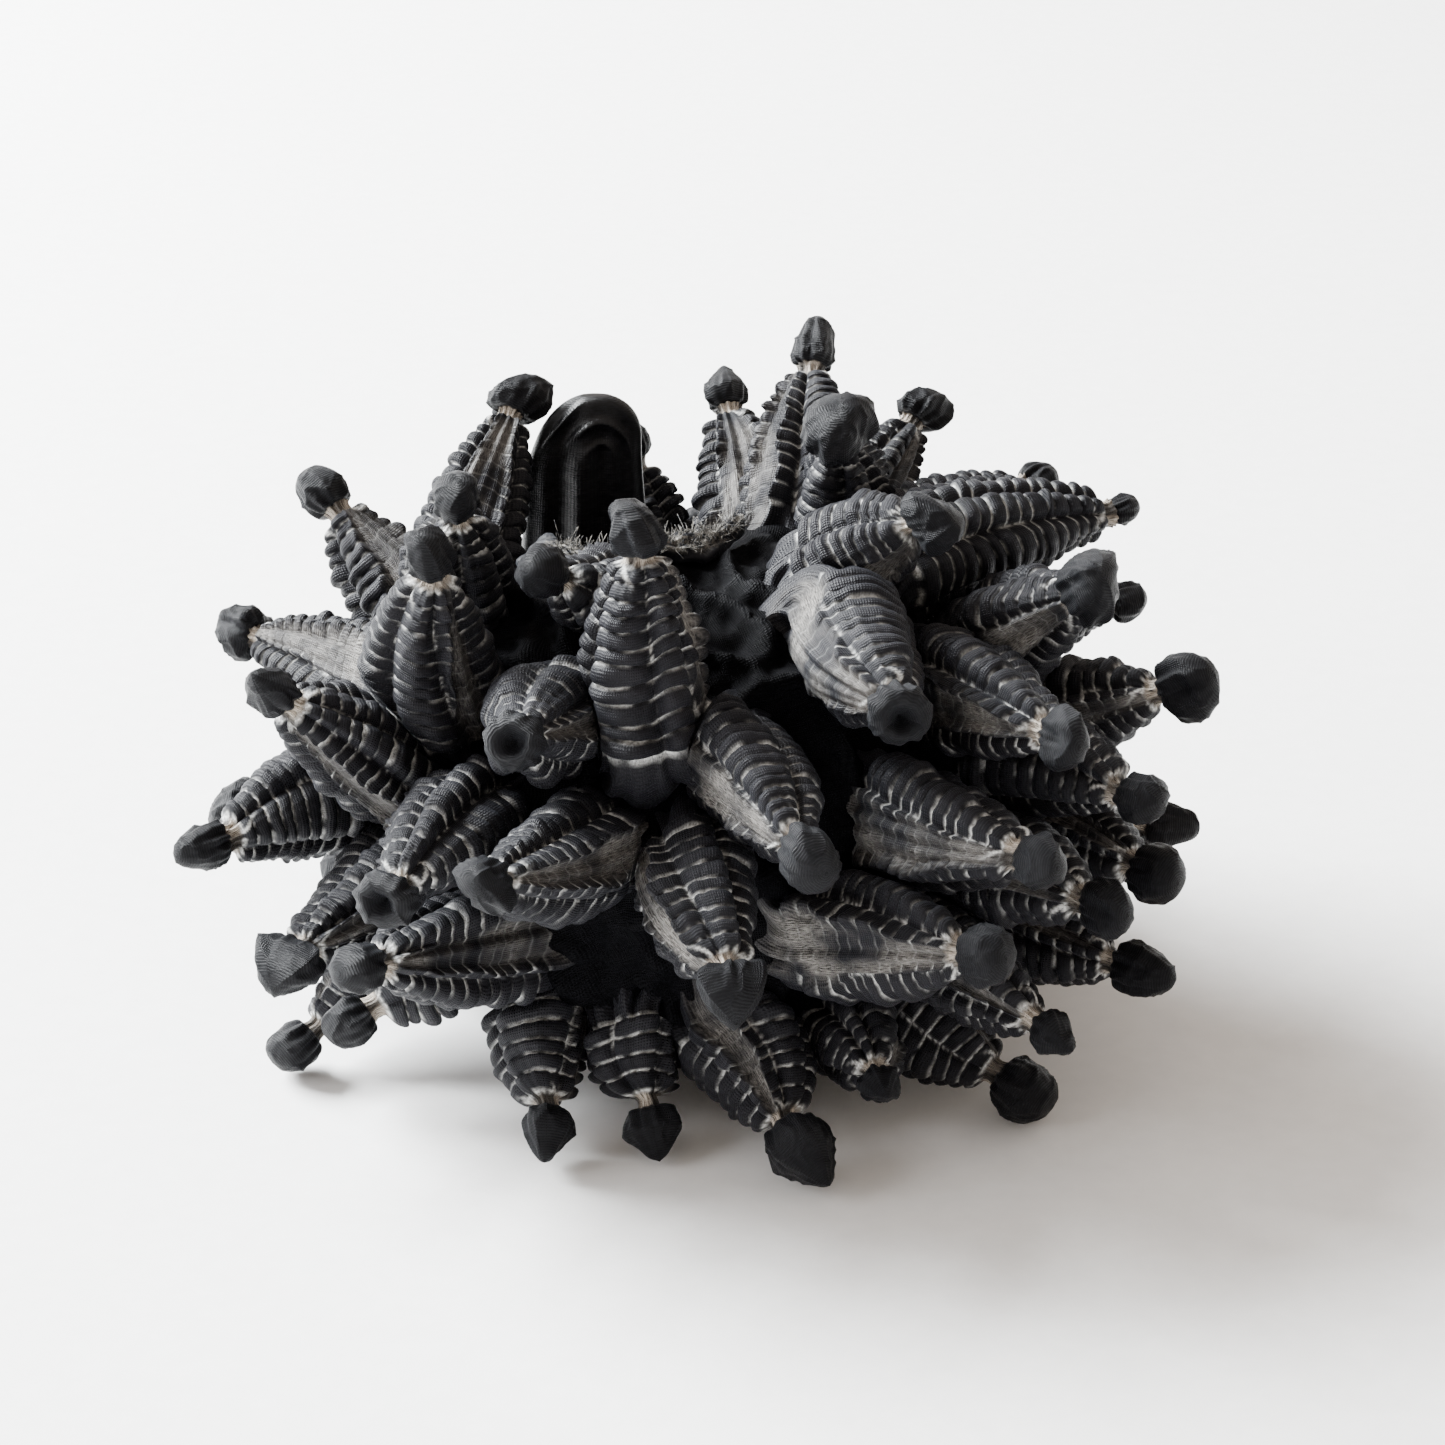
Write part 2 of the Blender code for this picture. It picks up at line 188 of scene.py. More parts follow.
def smooth(low, high, values):
    share = np.clip((values - low) / (high - low), 0, 1)
    return share * share * (3 - 2 * share)


def points_of(node):
    mesh = frame["nodes"][node].data
    flat = np.zeros(len(mesh.vertices) * 3, np.float32)
    mesh.vertices.foreach_get("co", flat)
    return flat.reshape(-1, 3).astype(float)


def surface_of(node):
    mesh = frame["nodes"][node].data
    return BVHTree.FromPolygons(
        [v.co for v in mesh.vertices], [tuple(p.vertices) for p in mesh.polygons]
    )


def harmonics(rng, angles, orders, rows=1, drift=0.9):
    """Smooth waves round the horn, of mean size 1, drifting a little from row to row."""
    total = np.zeros((rows, len(angles)))
    for order in orders:
        phase = rng.uniform(0, TURN) + np.cumsum(rng.normal(0, drift, rows))
        total += np.cos(order * angles[None, :] + phase[:, None])
    return total / math.sqrt(len(orders) / 2)


class Horn:
    """One horn's axis, sizes and features, read from the frame."""

    def __init__(self, number, joint):
        self.body = joint["child"]
        self.parent = joint["parent"]
        self.name = frame["record"]["behaviour"]["bodies"][self.body][0]
        self.rng = np.random.default_rng(number)
        self.root = np.array(joint["pos_m"])
        arms = points_of(self.name) - self.root
        reach = np.linalg.norm(arms, axis=1)
        self.along = unit(arms[reach.argmax()])
        self.upper = unit(np.array(joint["axis"]))
        self.side = np.cross(self.along, self.upper)
        distance = arms @ self.along
        radius = np.linalg.norm(arms - distance[:, None] * self.along, axis=1)
        thin = (distance > reach.max() / 2) & (radius < NECK_MAX)
        self.neck = distance[thin].min()
        self.girth = radius[distance < self.neck].max()
        self.bulb = radius[distance > self.neck + 1e-5].max()
        self.start = START * self.girth
        swing = self.rng.uniform(0, TURN)
        self.bend = SPINE_BEND * self.rng.uniform(0.3, 1.0) * self.across(swing)
        looks = LOOKS.get(self.name) or self.other_looks(number)
        self.bulb_kind, lean, furrow, self.furrow_width = looks
        self.lean = FACING[lean]
        self.furrow = self.angle_facing(FACING[furrow])

    def other_looks(self, number):
        kind = OTHER_BULBS[number % len(OTHER_BULBS)]
        faces = self.rng.permutation(OTHER_FACES)
        return kind, faces[0], faces[1], self.rng.uniform(18, 42)

    def across(self, angles):
        """Unit arms square to the horn's axis."""
        angles = np.asarray(angles)
        return np.cos(angles)[..., None] * self.upper + np.sin(angles)[..., None] * self.side

    def angle_facing(self, direction):
        return math.atan2(np.dot(direction, self.side), np.dot(direction, self.upper))

    def spine(self, distance):
        """Points on the gently bent middle line."""
        share = np.clip((np.asarray(distance) - self.start) / (self.neck - self.start), 0, 1)
        bow = 4 * share * (1 - share)
        return self.root + np.asarray(distance)[..., None] * self.along + bow[..., None] * self.bend

    def cone(self, distance):
        share = np.clip((distance - self.start) / (self.neck - self.start), 0, 1)
        return FULLNESS * self.girth * (1 - (1 - NECK_SHARE) * share**CONE_BEND)

    def marks(self):
        """Distances of the bound grooves, from the ground cloth to the neck."""
        last = self.neck - BAND
        found = [self.start]
        while found[-1] < last:
            share = (found[-1] - self.start) / (last - self.start)
            pitch = COARSE_PITCH + (FINE_PITCH - COARSE_PITCH) * share
            found.append(found[-1] + pitch * self.rng.uniform(0.8, 1.2))
        found = np.array(found)
        return self.start + (found - self.start) * (last - self.start) / (found[-1] - self.start)


def flutes(horn, angles, shares):
    """For each row and column: how far it is from the nearest lengthwise valley, 1 midway and 0 in
    it, and the number of the pillow that it lies on."""
    count = int(horn.rng.integers(4, 7))
    valleys = (np.arange(count) + horn.rng.uniform(-0.28, 0.28, count)) / count * TURN
    valleys += horn.furrow + TURN / count / 2
    drift = horn.rng.uniform(-0.5, 0.5) * shares
    turned = (angles[None, :] - drift[:, None] - valleys[0]) % TURN
    edges = np.append(np.sort((valleys - valleys[0]) % TURN), TURN)
    pillow = np.searchsorted(edges, turned, side="right") - 1
    low, high = edges[pillow], edges[pillow + 1]
    middle = np.abs(2 * (turned - low) / (high - low) - 1)
    return 1 - middle**3, pillow, count


def ribbed_part(horn, angles):
    """The bound stretch as (distance, radius, groove marks, furrow mask) over rows and columns."""
    rng = horn.rng
    marks = horn.marks()
    ribs = len(marks) - 1
    rib = np.repeat(np.arange(ribs), len(RIB_ROWS))
    part = np.tile(RIB_ROWS, ribs)
    rib = np.append(rib, ribs - 1)
    part = np.append(part, 1.0)
    distance = marks[rib] + part * (marks[rib + 1] - marks[rib])
    shares = (distance - horn.start) / (horn.neck - horn.start)
    fullness, pillow, pillows = flutes(horn, angles, shares)
    size = horn.cone(distance)[:, None]
    size = size * (1 + 0.045 * harmonics(rng, angles, (1, 2, 3), len(part), 0.05))

    wobble = harmonics(rng, angles, (1, 2, 3, 5), ribs + 1)
    steps = rng.uniform(-0.48, 0.48, pillows) + rng.uniform(-0.15, 0.15, (ribs + 1, pillows))
    slide = 0.2 * MM * wobble
    low = slide[rib] + FINE_PITCH * fullness * steps[rib[:, None], pillow]
    high_rib = np.minimum(rib + 1, ribs)
    high = slide[high_rib] + FINE_PITCH * fullness * steps[high_rib[:, None], pillow]
    at_groove = (1 - part)[:, None] * low + part[:, None] * high
    fade = np.minimum(1, np.minimum(4 * (1 - shares), 0.2 + 5 * shares))[:, None]
    along = distance[:, None] + fade * (at_groove - 0.9 * MM * (1 - fullness))

    roll = np.abs(2 * part - 1)
    roll = (1 - roll**2.4) ** 0.62
    plump = rng.uniform(0.65, 1.35, (ribs, pillows))[rib[:, None], pillow]
    lumps = plump * (1 + 0.24 * harmonics(rng, angles, (2, 3, 4, 7), ribs)[rib])
    height = RIB_HEIGHT * (0.6 + 0.4 * size / horn.girth) * np.clip(lumps, 0.35, 1.8)
    height = height * (0.15 + 0.85 * fullness)
    gathers = harmonics(rng, angles, (16, 21, 27), ribs)[rib] * 0.10 * MM * (1.25 - roll)[:, None]
    depth = rng.uniform(0.15, 0.27)
    radius = size * (1 - depth * (1 - fullness)) - 0.5 * RIB_HEIGHT + height * roll[:, None] + gathers

    width = math.radians(horn.furrow_width) * (1.15 - 0.6 * shares)
    width = width * (1 + 0.12 * np.cos(5 * shares * math.pi + rng.uniform(0, TURN)))
    aside = (angles[None, :] - horn.furrow + math.pi) % TURN - math.pi
    aside = np.abs(aside) / width[:, None]
    furrow = 1 - smooth(0.72, 1.0, aside)
    pleats = harmonics(rng, angles, (8, 13, 19), len(part), 0.06) * 0.26 * MM
    flat = size * 0.83 + pleats * np.sqrt(size / horn.girth) + 0.1 * height * roll[:, None]
    radius = radius * (1 - furrow) + flat * furrow
    radius += 0.5 * MM * np.exp(-(((aside - 1.02) / 0.13) ** 2)) * np.sqrt(size / horn.girth)

    strength = 0.72 + 0.5 * harmonics(rng, angles, (2, 5, 9, 14), ribs + 1)
    near = np.array([1.0, 0.45, 0, 0, 0, 0, 0, 0.45])[np.arange(len(part)) % len(RIB_ROWS)]
    nearest = np.where(part > 0.5, rib + 1, rib)
    groove = near[:, None] * np.clip(strength[nearest], 0.05, 1) * (1 - 0.75 * furrow)
    ladder = np.exp(-((fullness / 0.16) ** 2)) * (0.25 + 0.75 * (np.abs(part - 0.5) > 0.2)[:, None])
    ladder = ladder * np.clip(harmonics(rng, angles, (1, 3), len(part)), 0, 1)
    groove = np.maximum(groove, 0.85 * ladder * (1 - furrow))
    vee = np.abs(np.sin(1.5 * angles[None, :] + 9 * shares[:, None] + rng.uniform(0, TURN)))
    vee = smooth(0.86, 0.95, shares)[:, None] * (1 - smooth(0.05, 0.22, vee))
    groove = np.maximum(groove, 0.9 * vee)
    return along, radius, groove, furrow


def skirt(horn, angles, first_ring, ground):
    """Rows of cloth that run out from the first groove on to the ground cloth."""
    foot, normal, _, _ = ground.find_nearest(Vector(horn.root))
    normal = np.array(normal)
    arms = horn.across(angles)
    arms = unit(arms - (arms @ normal)[:, None] * normal)
    folds = 1 + 0.10 * harmonics(horn.rng, angles, (5, 8, 11), 1)[0]
    ends = []
    for arm, fold in zip(arms, folds):
        near, out, _, _ = ground.find_nearest(Vector(np.array(foot) + FLARE * horn.girth * fold * arm))
        ends.append(np.array(near) - SINK * np.array(out))
    ends = np.array(ends)
    drop = np.linalg.norm(first_ring - ends, axis=1)
    knee = first_ring - 0.62 * drop[:, None] * horn.along
    share = (np.arange(SKIRT_ROWS) / SKIRT_ROWS)[:, None, None]
    rows = (1 - share) ** 2 * ends + 2 * share * (1 - share) * knee + share**2 * first_ring
    pleats = 0.5 * MM * harmonics(horn.rng, angles, (7, 11, 16), SKIRT_ROWS, 0.08)
    return rows + np.sin(math.pi * share) * pleats[..., None] * arms


def bulb_part(horn, angles):
    """The neck band and the loose bulb, as points, with the pale mask of the neck."""
    rng = horn.rng
    outline, lean, thickness, dimple, facets, folds, fold_height = BULBS[horn.bulb_kind]
    across = horn.across(angles)
    lean_angle = horn.angle_facing(horn.lean)
    toward = horn.across(lean_angle)
    neck = NECK_SHARE * horn.girth * 0.86
    pleats = 1 + 0.07 * harmonics(rng, angles, (9, 13), 1)[0]
    rows = []
    for share in np.linspace(0.15, 1, NECK_ROWS):
        distance = horn.neck - BAND + 2 * BAND * share
        pinch = neck * (1 - 0.16 * math.sin(math.pi * share)) * pleats
        rows.append(horn.spine(distance) + pinch[:, None] * across)
    base = horn.spine(horn.neck + BAND)

    knots = np.linspace(0, 1, len(outline))
    shares = np.linspace(0, 1, BULB_ROWS + 1)[1:]
    lengths = curve(knots, [p[0] for p in outline], shares) * horn.bulb
    widths = (curve(knots, [p[1] for p in outline], shares) * horn.bulb)[:, None]
    down = shares[:, None]
    soft = harmonics(rng, angles, (2, 3), BULB_ROWS, 0.06) * 0.06
    creases = harmonics(rng, angles, (7, 10, 12), BULB_ROWS, 0.07) * 0.10
    ring = widths * (1 + soft * (1 - down) + creases * (1 - down) ** 2)
    aside = (angles - lean_angle + math.pi) % TURN - math.pi
    if facets:
        sector = TURN / facets
        flat = math.cos(sector / 2) / np.cos((angles - lean_angle) % sector - sector / 2)
        ring = ring * (0.5 + 0.5 * flat)
    ring = ring * (1 - dimple * np.exp(-(((down - 0.52) / 0.2) ** 2)) * np.exp(-((aside / 0.55) ** 2)))
    for _ in range(folds):
        start = rng.uniform(0, TURN)
        slope = rng.uniform(-1.8, 1.8)
        past = (angles - start - slope * (down - 0.5) + math.pi) % TURN - math.pi
        lip = np.exp(-np.maximum(past, 0) / 0.55) / (1 + np.exp(-past / 0.05))
        ring = ring + fold_height * widths * lip * np.sin(math.pi * down) ** 0.6
    ring = ring * (1 - (1 - thickness) * np.abs(np.cos(aside)))
    for share, length, size in zip(shares, lengths, ring):
        centre = base + length * horn.along + lean * horn.bulb * share**1.8 * toward
        wrinkle = np.array([wrinkles(spot) for spot in centre + size[:, None] * across])
        calm = min(1.0, 6 * (1 - share))
        rows.append(centre + (size + calm * wrinkle)[:, None] * across)
    band = np.zeros((len(rows), len(angles)))
    pale = np.clip(0.7 + 0.6 * harmonics(rng, angles, (1, 2, 3), 1)[0], 0.1, 1)
    band[:NECK_ROWS] = pale
    band[NECK_ROWS] = 0.5 * pale
    return np.array(rows), band


def wrinkles(spot):
    """Height of the crisp wrinkles on a loose bulb."""
    bent = Vector(spot) / WRINKLE + 0.5 * noise.noise_vector(Vector(spot) / (2 * WRINKLE))
    return 0.42 * MM * (1 - abs(noise.noise(bent))) ** 6 + 0.12 * MM * noise.noise(3 * bent) - 0.14 * MM


def curve(knots, values, at):
    """A smooth curve through values at even knots."""
    values = np.asarray(values, float)
    slopes = np.gradient(values, knots)
    step = knots[1] - knots[0]
    span = np.clip(((at - knots[0]) / step).astype(int), 0, len(knots) - 2)
    t = (at - knots[span]) / step
    return (
        (2 * t**3 - 3 * t**2 + 1) * values[span]
        + (t**3 - 2 * t**2 + t) * step * slopes[span]
        + (3 * t**2 - 2 * t**3) * values[span + 1]
        + (t**3 - t**2) * step * slopes[span + 1]
    )


def nearness(points, horn):
    """Distance from each point to a horn's middle line, over the horn's radius there."""
    stations = np.linspace(horn.start, horn.neck, 14)
    spine = horn.spine(stations)
    sizes = horn.cone(stations)
    best = np.full(points.shape[:-1], np.inf)
    for start, end, size_start, size_end in zip(spine, spine[1:], sizes, sizes[1:]):
        run = end - start
        share = np.clip(((points - start) @ run) / (run @ run), 0, 1)
        gap = np.linalg.norm(points - start - share[..., None] * run, axis=-1)
        best = np.minimum(best, gap / (size_start + share * (size_end - size_start)))
    return best


def give_way(points, middles, horn, neighbours):
    """Presses a horn's flank in where a neighbour's would cross it."""
    low = np.full(points.shape[:-1], 0.35)
    high = np.ones(points.shape[:-1])
    arms = points - middles

    def free(share):
        moved = middles + share[..., None] * arms
        own = nearness(moved, horn)
        clear = np.ones(share.shape, bool)
        for other in neighbours:
            clear &= nearness(moved, other) > own + 0.03
        return clear

    fits = free(high)
    low[fits] = 1
    for _ in range(6):
        middle = (low + high) / 2
        fits = free(middle)
        low = np.where(fits, np.maximum(low, middle), low)
        high = np.where(fits, high, middle)
    return middles + low[..., None] * arms


def grid_mesh(name, rows, attributes, scale, closed_end=True):
    """A mesh from rows of points round a piece. Its cloth coordinates are in centimetres."""
    count, columns = rows.shape[:2]
    tops = np.arange(count - 1)[:, None] * columns
    left = np.arange(columns)[None, :]
    right = (left + 1) % columns
    quads = np.stack([tops + left, tops + right, tops + columns + right, tops + columns + left], -1)
    faces = quads.reshape(-1, 4).tolist()
    vertices = rows.reshape(-1, 3)
    if closed_end:
        vertices = np.vstack([vertices, rows[-1].mean(axis=0)])
        last = (count - 1) * columns
        tip = len(vertices) - 1
        faces += [(last + i, last + (i + 1) % columns, tip) for i in range(columns)]
    mesh = bpy.data.meshes.new(name)
    mesh.from_pydata(vertices.tolist(), [], faces)
    for label, values in attributes.items():
        flat = values.reshape(-1)
        if closed_end:
            flat = np.append(flat, flat[-1])
        layer = mesh.attributes.new(label, "FLOAT", "POINT")
        layer.data.foreach_set("value", flat.astype(np.float32))
    steps = np.linalg.norm(np.diff(rows, axis=0), axis=-1).mean(axis=1)
    along = np.concatenate([[0], np.cumsum(steps)]) / scale
    around = np.linspace(0, 1, columns + 1) * np.linalg.norm(np.diff(rows[count // 3], axis=0), axis=-1).sum()
    around = around / scale
    u = np.stack([around[:-1], around[1:], around[1:], around[:-1]], -1)
    u = np.broadcast_to(u[None], (count - 1, columns, 4))
    v = np.stack([along[:-1], along[:-1], along[1:], along[1:]], -1)
    v = np.broadcast_to(v[:, None], (count - 1, columns, 4))
    cloth = np.stack([u, v], -1).reshape(-1, 2)
    if closed_end:
        ends = [[around[i], along[-1]] for i in range(columns)]
        cloth = np.vstack([cloth] + [np.array([e, e, e]) for e in ends])
    layer = mesh.uv_layers.new(name="cloth")
    layer.data.foreach_set("uv", cloth.astype(np.float32).reshape(-1))
    mesh.shade_smooth()
    made = bpy.data.objects.new(name, mesh)
    bpy.context.scene.collection.objects.link(made)
    return made


CLOTH_SCALE = 10 * MM
CLOTH_THICKNESS = 0.3 * MM


def make_horn(horn, horns, ground, material):
    angles = np.arange(COLUMNS) / COLUMNS * TURN
    along, radius, groove, furrow = ribbed_part(horn, angles)
    middles = horn.spine(along)
    body = middles + radius[..., None] * horn.across(angles)[None]
    neighbours = [
        other
        for other in horns
        if other is not horn and np.linalg.norm(other.root - horn.root) < 4 * horn.girth
    ]
    body = give_way(body, middles, horn, neighbours)
    lower = skirt(horn, angles, body[0], ground)
    upper, band = bulb_part(horn, angles)
    rows = np.concatenate([lower, body, upper])
    blank_low = np.zeros(lower.shape[:2])
    blank_high = np.zeros(upper.shape[:2])
    fading = np.linspace(0, 1, SKIRT_ROWS)[:, None] * furrow[0]
    attributes = {
        "groove": np.concatenate([blank_low, groove, blank_high]),
        "furrow": np.concatenate([fading, furrow, blank_high]),
        "band": np.concatenate([blank_low, np.zeros_like(groove), band]),
        "loose": np.concatenate([blank_low, np.zeros_like(groove), 1 - band]),
    }
    made = grid_mesh(horn.name + "_cloth", rows, attributes, CLOTH_SCALE)
    made.data.materials.append(material)
    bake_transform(made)
    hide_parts(horn.name)
    return made


# Ground cloth.
GROUND_COLUMNS = 288
HOLLOW_ROWS = 34
OUTER_ROWS = 136
HOLLOW_FLOOR = 46 * MM
FOLD = 10 * MM  # spacing of its folds


class Ground:
    """The ground cloth's middle, hollow and outer surface, read from the frame."""

    def __init__(self):
        low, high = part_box("ground_cloth")
        self.low = low.z
        self.high = high.z
        self.middle = Vector((0, 0, (low.z + high.z) / 2))
        self.surface = surface_of("ground_cloth")
        mouth = [o for o in frame["record"]["physics"]["openings"] if o["name"] == "hollow_mouth"]
        corners = np.array(mouth[0]["box_m"])
        self.hollow = np.append(corners.mean(axis=0)[:2], 0)
        self.rim = (corners[1, 0] - corners[0, 0]) / 2 * math.sqrt(2) * 1.38

    def outer(self, direction):
        """The outer surface in a direction from the middle."""
        out = Vector(direction).normalized()
        hit, _, _, _ = self.surface.ray_cast(self.middle + 0.2 * out, -out)
        return np.array(hit)


def ground_rows(ground, horns):
    """Rows from the bottom of the hollow over its rim and down the outside to the foot."""
    angles = np.arange(GROUND_COLUMNS) / GROUND_COLUMNS * TURN
    circle = np.stack([np.cos(angles), np.sin(angles), np.zeros_like(angles)], -1)
    rim = ground.hollow + ground.rim * circle
    middle = np.array(ground.middle)
    rim_top = []
    for spot in rim:
        hit, _, _, _ = ground.surface.ray_cast(Vector((spot[0], spot[1], 1)), Vector((0, 0, -1)))
        rim_top.append(hit.z)
    rim[:, 2] = np.array(rim_top)
    rows = []
    pleats = np.cos(11 * angles + 1.5 * np.sin(3 * angles))
    for share in np.linspace(0.02, 1, HOLLOW_ROWS, endpoint=False):
        width = ground.rim * (0.02 + 0.98 * share**0.55)
        height = HOLLOW_FLOOR + (rim[:, 2] - HOLLOW_FLOOR) * share**1.6
        ring = ground.hollow + (width * (1 - 0.05 * pleats * share))[:, None] * circle
        ring[:, 2] = height
        rows.append(ring)
    pole = unit(ground.hollow + [0, 0, rim[:, 2].mean()] - middle)
    across = unit(np.cross(pole, [0, 1, 0]))
    over = np.cross(pole, across)
    top = unit(rim - middle)
    first_tilt = np.arccos(top @ pole)
    first_turn = np.unwrap(np.arctan2(top @ over, top @ across))
    last_turn = first_turn[0] + angles * np.sign(first_turn[-1] - first_turn[0])
    for share in np.linspace(0, 1, OUTER_ROWS):
        tilt = (first_tilt + (math.pi - first_tilt) * share * 0.996)[:, None]
        turn = (first_turn + (last_turn - first_turn) * share)[:, None]
        heading = np.cos(tilt) * pole + np.sin(tilt) * (np.cos(turn) * across + np.sin(turn) * over)
        rows.append(np.array([ground.outer(h) for h in heading]))
    rows = np.array(rows)
    outer = rows[HOLLOW_ROWS:]
    for _ in range(3):
        outer[1:-1] = (outer[:-2] + 2 * outer[1:-1] + outer[2:]) / 4
        outer[:] = (np.roll(outer, 1, axis=1) + 2 * outer + np.roll(outer, -1, axis=1)) / 4
    normals = unit(outer - middle)
    rise = np.zeros(outer.shape[:2])
    rng = np.random.default_rng(5)
    for horn in horns:
        foot, normal, _, _ = ground.surface.find_nearest(Vector(horn.root))
        arms = outer - np.array(foot)
        gap = np.linalg.norm(arms, axis=-1)
        turn = np.arctan2(arms @ horn.side, arms @ horn.upper)
        folds = np.cos(7 * turn + rng.uniform(0, TURN)) + 0.7 * np.cos(11 * turn + rng.uniform(0, TURN))
        window = (gap / horn.girth) ** 2 * np.exp(-((gap / (1.35 * horn.girth)) ** 2))
        rise += 0.75 * MM * folds * window + 2.2 * MM * np.exp(-((gap / (0.9 * horn.girth)) ** 2))
    for i in range(outer.shape[0]):
        for j in range(outer.shape[1]):
            rise[i, j] += crumple(Vector(outer[i, j]))
    calm = smooth(0.5 * MM, 6 * MM, outer[..., 2]) * smooth(0, 8, np.arange(OUTER_ROWS))[:, None]
    outer += (rise * calm)[..., None] * normals
    outer[..., 2] = np.maximum(outer[..., 2], 0)
    return rows


def crumple(spot):
    """Height of the folds that gathered cloth makes: sharp ridges of two sizes, and small wrinkles."""
    bent = spot / FOLD + 0.45 * noise.noise_vector(spot / (2.2 * FOLD))
    large = (1 - abs(noise.noise(bent))) ** 5
    small = (1 - abs(noise.noise(2.1 * bent))) ** 4
    fine = noise.noise(5 * bent)
    return 3.0 * MM * large + 1.1 * MM * small + 0.25 * MM * fine - 1.2 * MM


def make_ground(ground, horns, material):
    made = grid_mesh("gathered_ground", ground_rows(ground, horns), {}, CLOTH_SCALE)
    made.data.materials.append(material)
    layer = made.modifiers.new("cloth_thickness", "SOLIDIFY")
    layer.thickness = CLOTH_THICKNESS
    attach(made, "bundle")
    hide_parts("ground_cloth")
    return made


DOME_FROM = 0.76  # share of the loop's height where its round top begins
LOOP_SHOULDER = 3.6 * MM  # how far its left side spreads below the top
LOOP_ROWS = 80
LOOP_GATHERS = 0.55 * MM  # height of the soft gathers down its sides
LOOP_FLARE = 1.35  # how far its foot spreads over the ground cloth
FLARE_DROP = 3 * MM


def make_loop(ground, material):
    """The standing loop behind the hollow: a smooth dome with nested arches on its face."""
    low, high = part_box("loop_fold")
    centre = np.array((low + high) / 2)
    foot = low.z - 4 * MM
    height = high.z - foot
    wide = (high.x - low.x) / 2 * 1.06
    deep = (high.y - low.y) / 2 * 0.95
    columns = 144
    angles = np.arange(columns) / columns * TURN
    rows = []
    shares = np.linspace(0, 1, LOOP_ROWS, endpoint=False)
    gathers = LOOP_GATHERS * harmonics(np.random.default_rng(3), angles, (4, 7, 11), LOOP_ROWS, 0.05)
    for share, gather in zip(shares, gathers):
        over = max(0.0, share - DOME_FROM) / (1 - DOME_FROM)
        size = (1 - over**2.4) ** 0.5 + 0.4 * max(0.0, 0.7 - share) ** 1.5
        shoulder = LOOP_SHOULDER * smooth(1.0, 0.55, share)
        ring = np.zeros((columns, 3))
        x = np.cos(angles) * size
        y = np.sin(angles) * size
        lift = max(0.0, share - 0.66) / 0.34
        reach = np.sqrt((x - 0.12) ** 2 + lift**2) * 2.9
        step = reach % 1
        arches = step**2.2 * (1 - smooth(0.86, 1.0, step)) - 0.3
        face = np.clip(-np.sin(angles) * 1.6, 0, 1)
        ring[:, 0] = centre[0] + wide * x - shoulder * np.clip(-np.cos(angles), 0, 1)
        soft = gather * smooth(1.0, 0.6, share)
        ring[:, 1] = centre[1] + deep * y + soft * np.sin(angles) - 1.9 * MM * arches * face * size * smooth(0.66, 0.86, share)
        ring[:, 2] = foot + height * share
        rows.append(ring)
    ends = []
    foot_middle = rows[0].mean(axis=0)
    for spot in rows[0]:
        away = foot_middle + LOOP_FLARE * (spot - foot_middle) - (0, 0, FLARE_DROP)
        near, out, _, _ = ground.find_nearest(Vector(away))
        ends.append(np.array(near) - SINK * np.array(out))
    ends = np.array(ends)
    knee = rows[0] - (0, 0, FLARE_DROP)
    part = (np.arange(SKIRT_ROWS) / SKIRT_ROWS)[:, None, None]
    skirt_rows = (1 - part) ** 2 * ends + 2 * part * (1 - part) * knee + part**2 * rows[0]
    rows = np.concatenate([skirt_rows, rows])
    made = grid_mesh("standing_loop", rows, {}, CLOTH_SCALE)
    made.data.materials.append(material)
    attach(made, "bundle")
    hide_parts("loop_fold")
    return made


def edge_line():
    """The raw edge's points from the frame's roll, and their mean."""
    points = points_of("raw_edge")
    middle = points.mean(axis=0)
    return points, middle


def make_edge(ground, material):
    """The rolled cut edge and its loose fibres."""
    points = points_of("raw_edge")
    arms = points - ground.hollow
    turn = np.unwrap(np.arctan2(arms[:, 1], arms[:, 0]))
    turn = np.where(turn > 0.5, turn - TURN, turn)
    stations = np.linspace(turn.min(), turn.max(), 90)
    order = np.argsort(turn)
    radial = np.linalg.norm(arms[:, :2], axis=1)
    line_radius = (radial.max() + radial.min()) / 2
    heights = np.interp(stations, turn[order], points[order, 2])
    kernel = np.ones(15) / 15
    heights = np.convolve(np.pad(heights, 7, mode="edge"), kernel, mode="valid")
    columns = 40
    angles = np.arange(columns) / columns * TURN
    rng = np.random.default_rng(11)
    rows = []
    for k, (at, height) in enumerate(zip(stations, heights)):
        out = np.array([math.cos(at), math.sin(at), 0])
        share = k / (len(stations) - 1)
        size = 1.9 * MM * math.sqrt(max(0.02, 1 - (2 * share - 1) ** 8))
        size *= 1 + 0.2 * math.sin(11 * share + 1) + 0.14 * math.sin(27 * share)
        size *= 1 + 0.75 * math.exp(-((share / 0.1) ** 2))
        middle = ground.hollow + line_radius * out
        middle[2] = height - 1.5 * MM * math.exp(-((share / 0.25) ** 2)) + 0.6 * MM * math.sin(14 * share)
        curl = 1 + 0.24 * np.cos(3 * angles + 9 * share) + 0.12 * np.cos(7 * angles - 26 * share)
        ring = middle + size * (curl * np.cos(angles))[:, None] * out
        ring[:, 2] += size * curl * np.sin(angles)
        rows.append(ring)
    rows = np.array(rows)
    smooth_end = smooth(0.06, 0.2, np.linspace(0, 1, len(rows)))
    fray = smooth_end[:, None] * smooth(0.1, 0.75, np.sin(angles))
    made = grid_mesh("raw_edge_roll", rows, {"fray": fray}, CLOTH_SCALE)
    made.data.materials.append(material)
    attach(made, "bundle")
    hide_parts("raw_edge")
    return made, fibres(rows, rng, material)


